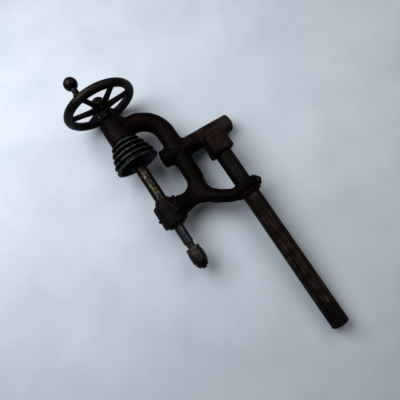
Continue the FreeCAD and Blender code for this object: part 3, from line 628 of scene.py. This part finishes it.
def floor_skin():
    """Plain pale blue-grey sheet."""
    paint = Paint("floor")
    clouds = paint.noise(90, detail=3)
    colour = paint.colours(clouds, (0.3, (0.405, 0.435, 0.475)), (0.7, (0.455, 0.485, 0.525)))
    return paint.finish(colour, 0.7)


def dress(obj, material):
    """Gives a new mesh its only material."""
    obj.data.materials.clear()
    obj.data.materials.append(material)


def dress_node(name, material):
    """Gives a CAD node its material without touching its mesh."""
    for slot in frame["nodes"][name].material_slots:
        slot.material = material


# ---------------------------------------------------------------- the pieces

# Unevenness of the sand-cast skin: (wavelength, height)
CAST_SKIN = ((9.0, 0.35), (2.8, 0.12))

body = cast_body()
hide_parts("frame_casting")
roughen(body, CAST_SKIN)
dress(body, casting_iron())

screw = threaded_screw()
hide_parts("feed_screw")
screw_steel = worn_steel("screw_steel", (0.006, 0.005, 0.0045), (0.03, 0.026, 0.022), 5)
dress(screw, screw_steel)

fastener_steel = worn_steel("fastener_steel", (0.005, 0.0046, 0.0045), (0.022, 0.020, 0.019), 3)
knob_steel = worn_steel("knob_steel", (0.006, 0.0045, 0.0045), (0.02, 0.015, 0.014), 6,
                        smooth=0.28, rough=0.42)
jaw_steel = worn_steel("jaw_steel", (0.006, 0.0055, 0.0055), (0.03, 0.027, 0.025), 4)
bush_bronze = worn_steel("bush_bronze", (0.0022, 0.0017, 0.0014), (0.0085, 0.006, 0.004), 5,
                         metallic=0.3)

CAD_PIECES = (
    (column_steel(), ("column",)),
    (pulley_iron(), ("cone_pulley", "pulley_sleeve_ring")),
    (spindle_steel(), ("spindle",)),
    (wheel_skin(), ("handwheel",)),
    (knob_steel, ("handwheel_nut", "handle_knob")),
    (screw_steel, ("swivel_nut", "thrust_ball", "thrust_washer")),
    (chuck_skin(), ("chuck_body", "chuck_sleeve", "chuck_nut")),
    (jaw_steel, ("chuck_jaw_1", "chuck_jaw_2", "chuck_jaw_3")),
    (bush_bronze, ("upper_spindle_bush", "lower_spindle_bush", "head_bush", "feed_nut")),
    (fastener_steel, ("column_pin", "clamp_bolt", "clamp_washer", "clamp_nut", "bearing_screw",
                      "pulley_key_screw", "handwheel_pin")),
)
for piece_material, node_names in CAD_PIECES:
    for node_name in node_names:
        dress_node(node_name, piece_material)


# ---------------------------------------------------------------- stage, light and camera

FLOOR_HALF = 3.0             # metres


def floor():
    """Plain sheet under the drill."""
    corners = [(x * FLOOR_HALF, y * FLOOR_HALF, 0) for x, y in ((-1, -1), (1, -1), (1, 1), (-1, 1))]
    mesh = bpy.data.meshes.new("floor")
    mesh.from_pydata(corners, [], [(0, 1, 2, 3)])
    sheet = placed("floor", mesh)
    dress(sheet, floor_skin())


# The camera stands in front of the drill, in upright millimetres and degrees
CAMERA_PLACE = Vector((-84.1, -530.8, 174.3))
CAMERA_YAW = 13.87           # looking to the back, turned towards the side of the column
CAMERA_PITCH = 7.2           # towards the top of the drill
CAMERA_ROLL = -33.68
CAMERA_LENS = 34.58
CAMERA_SENSOR = 36.0


def camera_axes():
    """Right, up and forward of the camera, in the frame's own axes."""
    yaw = math.radians(CAMERA_YAW)
    pitch = math.radians(CAMERA_PITCH)
    level = BACK * math.cos(yaw) + SIDE * math.sin(yaw)
    forward = level * math.cos(pitch) + UP * math.sin(pitch)
    roll = Matrix.Rotation(math.radians(-CAMERA_ROLL), 3, forward)
    right = roll @ forward.cross(UP).normalized()
    return right, right.cross(forward), forward


def camera():
    """The scene's camera."""
    right, up, forward = camera_axes()
    data = bpy.data.cameras.new("camera")
    data.sensor_width = CAMERA_SENSOR
    data.lens = CAMERA_LENS
    data.clip_start = 10 * MM
    eye = placed("camera", data)
    turn = Matrix((right, up, -forward)).transposed().to_4x4()
    place = ORIGIN + UPRIGHT @ CAMERA_PLACE * MM
    eye.matrix_world = Matrix.Translation(place) @ turn
    bpy.context.scene.camera = eye


def area_light(name, across, above, height, size, power, colour):
    """A soft round light aimed at the drill; across is to the picture's right, above to its top."""
    right, up, _ = camera_axes()
    flat_right = Vector((right.x, right.y, 0)).normalized()
    flat_up = Vector((up.x, up.y, 0)).normalized()
    place = flat_right * across + flat_up * above + Vector((0, 0, height))
    data = bpy.data.lights.new(name, "AREA")
    data.shape = "DISK"
    data.size = size
    data.energy = power
    data.color = colour
    lamp = placed(name, data)
    lamp.location = place
    lamp.rotation_euler = (-place).to_track_quat("-Z", "Y").to_euler()


def sky(strength, colour):
    """Even light from all round."""
    world = bpy.data.worlds.new("sky")
    world.use_nodes = True
    background = world.node_tree.nodes["Background"]
    background.inputs["Color"].default_value = (*colour, 1)
    background.inputs["Strength"].default_value = strength
    bpy.context.scene.world = world


floor()
camera()
area_light("key", across=-0.46, above=0.19, height=0.66, size=0.8, power=6.6, colour=(0.95, 0.975, 1.0))
area_light("fill", across=0.42, above=0.46, height=0.85, size=0.8, power=2.9, colour=(1.0, 0.985, 0.965))
sky(0.17, (0.95, 0.97, 1.0))
bpy.context.scene.view_settings.view_transform = "Standard"
bpy.context.scene.view_settings.look = "High Contrast"
